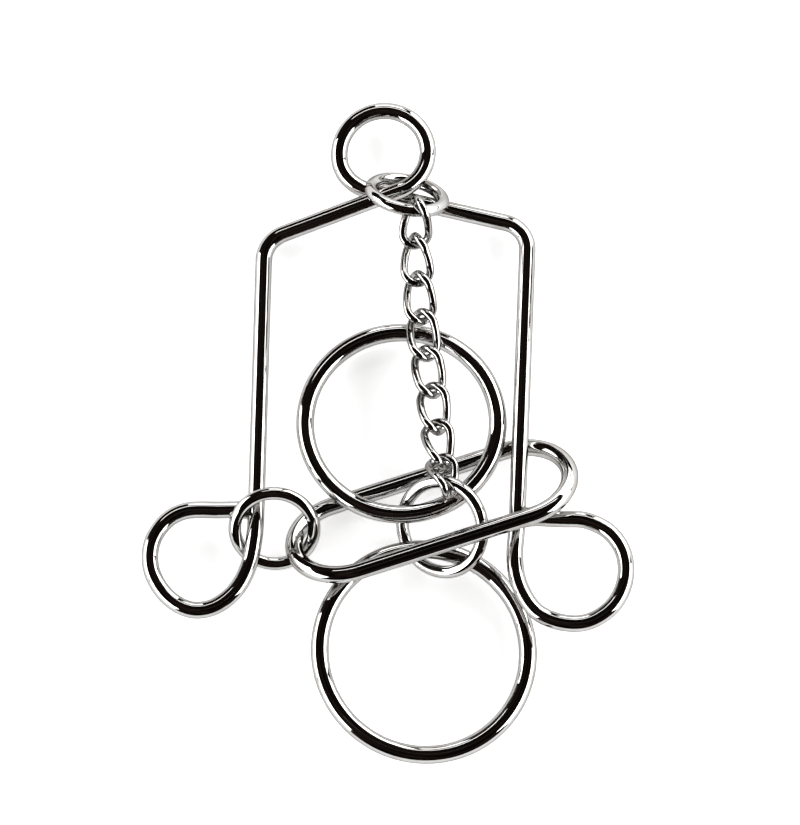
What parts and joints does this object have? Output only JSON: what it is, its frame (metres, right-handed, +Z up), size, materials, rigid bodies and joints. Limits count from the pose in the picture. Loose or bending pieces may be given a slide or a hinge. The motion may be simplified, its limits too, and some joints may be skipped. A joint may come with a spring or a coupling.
{
  "type": "wire disentanglement puzzle",
  "caption": "Chromed wire disentanglement puzzle: a bell-shaped frame with looped feet, linked with round rings, a narrow oval loop and a short curb chain.",
  "frame": {"origin": "centre of the puzzle's outline as it lies, on the surface under it", "axes": "+Z up from the surface, +Y from the feet to the bell's eye, +X to the right seen from above with the eye away from the viewer"},
  "size_m": [0.0842, 0.1172, 0.0139],
  "materials": {
    "chromed_steel": "polished"
  },
  "bodies": {
    "bell_frame": {"bell_frame": "chromed_steel"},
    "small_ring_top": {"small_ring_top": "chromed_steel"},
    "chain_link_1": {"chain_link_1": "chromed_steel"},
    "chain_link_2": {"chain_link_2": "chromed_steel"},
    "chain_link_3": {"chain_link_3": "chromed_steel"},
    "chain_link_4": {"chain_link_4": "chromed_steel"},
    "chain_link_5": {"chain_link_5": "chromed_steel"},
    "chain_link_6": {"chain_link_6": "chromed_steel"},
    "chain_link_7": {"chain_link_7": "chromed_steel"},
    "chain_link_8": {"chain_link_8": "chromed_steel"},
    "small_ring_joining": {"small_ring_joining": "chromed_steel"},
    "large_ring_upper": {"large_ring_upper": "chromed_steel"},
    "large_ring_lower": {"large_ring_lower": "chromed_steel"},
    "small_ring_side": {"small_ring_side": "chromed_steel"},
    "oval_loop": {"oval_loop": "chromed_steel"}
  },
  "joints": [
    {"name": "eye_ring_swing", "type": "hinge", "parent": "bell_frame", "child": "small_ring_top", "pos_m": [0.00564, 0.04513, 0.00457], "axis": [0, 0, -1], "range_deg": [-0.75, 1.25]},
    {"name": "link_1_swing", "type": "hinge", "parent": "small_ring_top", "child": "chain_link_1", "pos_m": [0.00406, 0.03689, 0.01154], "axis": [0, 0, 1], "range_deg": [-4.75, 0.75]},
    {"name": "link_2_swing", "type": "hinge", "parent": "chain_link_1", "child": "chain_link_2", "pos_m": [0.00471, 0.03135, 0.00854], "axis": [0, 0, -1], "range_deg": [-1.25, 5]},
    {"name": "link_3_swing", "type": "hinge", "parent": "chain_link_2", "child": "chain_link_3", "pos_m": [0.00532, 0.02489, 0.00741], "axis": [0, 0, -1], "range_deg": [-1.75, 4.25]},
    {"name": "link_4_swing", "type": "hinge", "parent": "chain_link_3", "child": "chain_link_4", "pos_m": [0.00586, 0.01852, 0.00593], "axis": [0, 0, 1], "range_deg": [-6.25, 2.25]},
    {"name": "link_5_swing", "type": "hinge", "parent": "chain_link_4", "child": "chain_link_5", "pos_m": [0.00668, 0.01201, 0.0057], "axis": [0, 0, 1], "range_deg": [-7, 4.25]},
    {"name": "link_6_swing", "type": "hinge", "parent": "chain_link_5", "child": "chain_link_6", "pos_m": [0.00781, 0.00558, 0.00509], "axis": [0, 0, -1], "range_deg": [-8.25, 7.25]},
    {"name": "link_7_swing", "type": "hinge", "parent": "chain_link_6", "child": "chain_link_7", "pos_m": [0.00895, -0.00074, 0.00463], "axis": [0, 0, 1], "range_deg": [-3.25, 7.75]},
    {"name": "link_8_swing", "type": "hinge", "parent": "chain_link_7", "child": "chain_link_8", "pos_m": [0.00957, -0.00727, 0.00593], "axis": [0, 0, -1], "range_deg": [-4.75, 5.25]},
    {"name": "chain_ring_swing", "type": "hinge", "parent": "chain_link_8", "child": "small_ring_joining", "pos_m": [0.01115, -0.01165, 0.00758], "axis": [0, 0, 1], "range_deg": [-3.25, 3.25]},
    {"name": "large_ring_upper_swing", "type": "hinge", "parent": "small_ring_joining", "child": "large_ring_upper", "pos_m": [0.00293, -0.01413, 0.00328], "axis": [0, 0, -1], "range_deg": [-1.25, 2.75]},
    {"name": "large_ring_lower_lift", "type": "hinge", "parent": "small_ring_joining", "child": "large_ring_lower", "pos_m": [0.01286, -0.02479, 0.00487], "axis": [-1, 0, 0], "range_deg": [0, 2.25]},
    {"name": "foot_ring_swing", "type": "hinge", "parent": "bell_frame", "child": "small_ring_side", "pos_m": [-0.0257, -0.01455, 0.00476], "axis": [0, 0, -1], "range_deg": [-0.25, 2.75]},
    {"name": "oval_swing", "type": "hinge", "parent": "small_ring_side", "child": "oval_loop", "pos_m": [-0.01344, -0.02067, 0.00342], "axis": [0, 0, 1], "range_deg": [-2.75, 0.75]}
  ]
}
